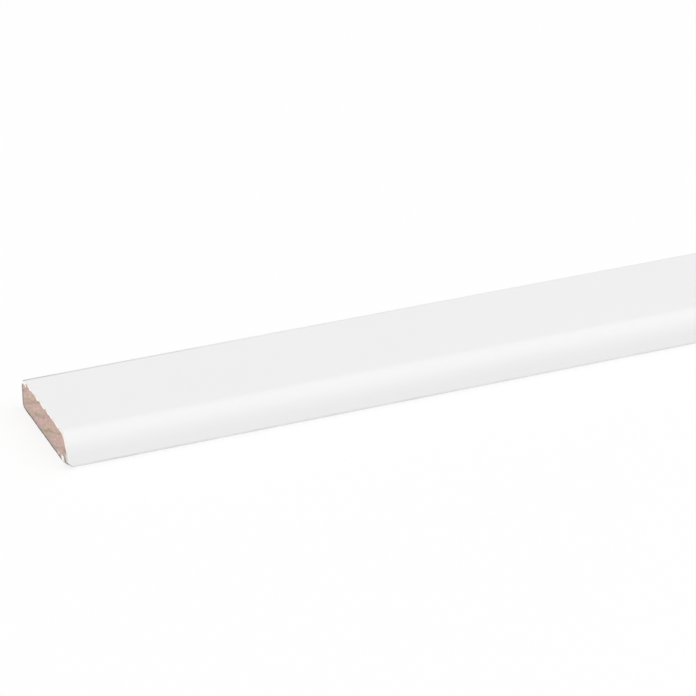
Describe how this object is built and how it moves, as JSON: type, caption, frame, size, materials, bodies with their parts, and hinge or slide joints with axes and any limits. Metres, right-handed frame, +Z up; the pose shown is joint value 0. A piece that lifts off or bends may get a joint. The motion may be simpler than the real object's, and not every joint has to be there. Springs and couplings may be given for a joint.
{
  "type": "cover moulding",
  "caption": "Straight flat trim strip of white-painted softwood with a broadly rounded front edge, for covering the joint between surfaces.",
  "frame": {"origin": "middle of the strip's flat back, on the surface that it lies on", "axes": "+X along the length, +Y towards the back edge and away from the rounded nose, +Z up through the face"},
  "size_m": [2.4, 0.033, 0.008],
  "materials": {
    "painted_softwood": "satin white paint, with bare sawn wood at the ends"
  },
  "bodies": {
    "root": {"cover_moulding": "painted_softwood"}
  },
  "joints": []
}
